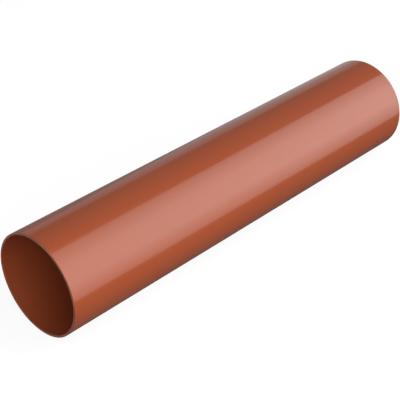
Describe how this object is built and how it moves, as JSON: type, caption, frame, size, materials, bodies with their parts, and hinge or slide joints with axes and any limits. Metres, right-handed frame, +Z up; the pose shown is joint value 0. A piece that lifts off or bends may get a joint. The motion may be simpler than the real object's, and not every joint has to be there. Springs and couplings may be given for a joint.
{
  "type": "plastic downpipe",
  "caption": "Round plastic rainwater downpipe, a plain-ended length with a through bore, lying on its side.",
  "frame": {"origin": "on the floor under the pipe, half-way along it", "axes": "+X along the pipe, +Z up, +Y level and square to the pipe"},
  "size_m": [0.512, 0.11, 0.11],
  "materials": {
    "pipe_plastic": "satin"
  },
  "bodies": {
    "root": {"downpipe": "pipe_plastic"}
  },
  "joints": []
}
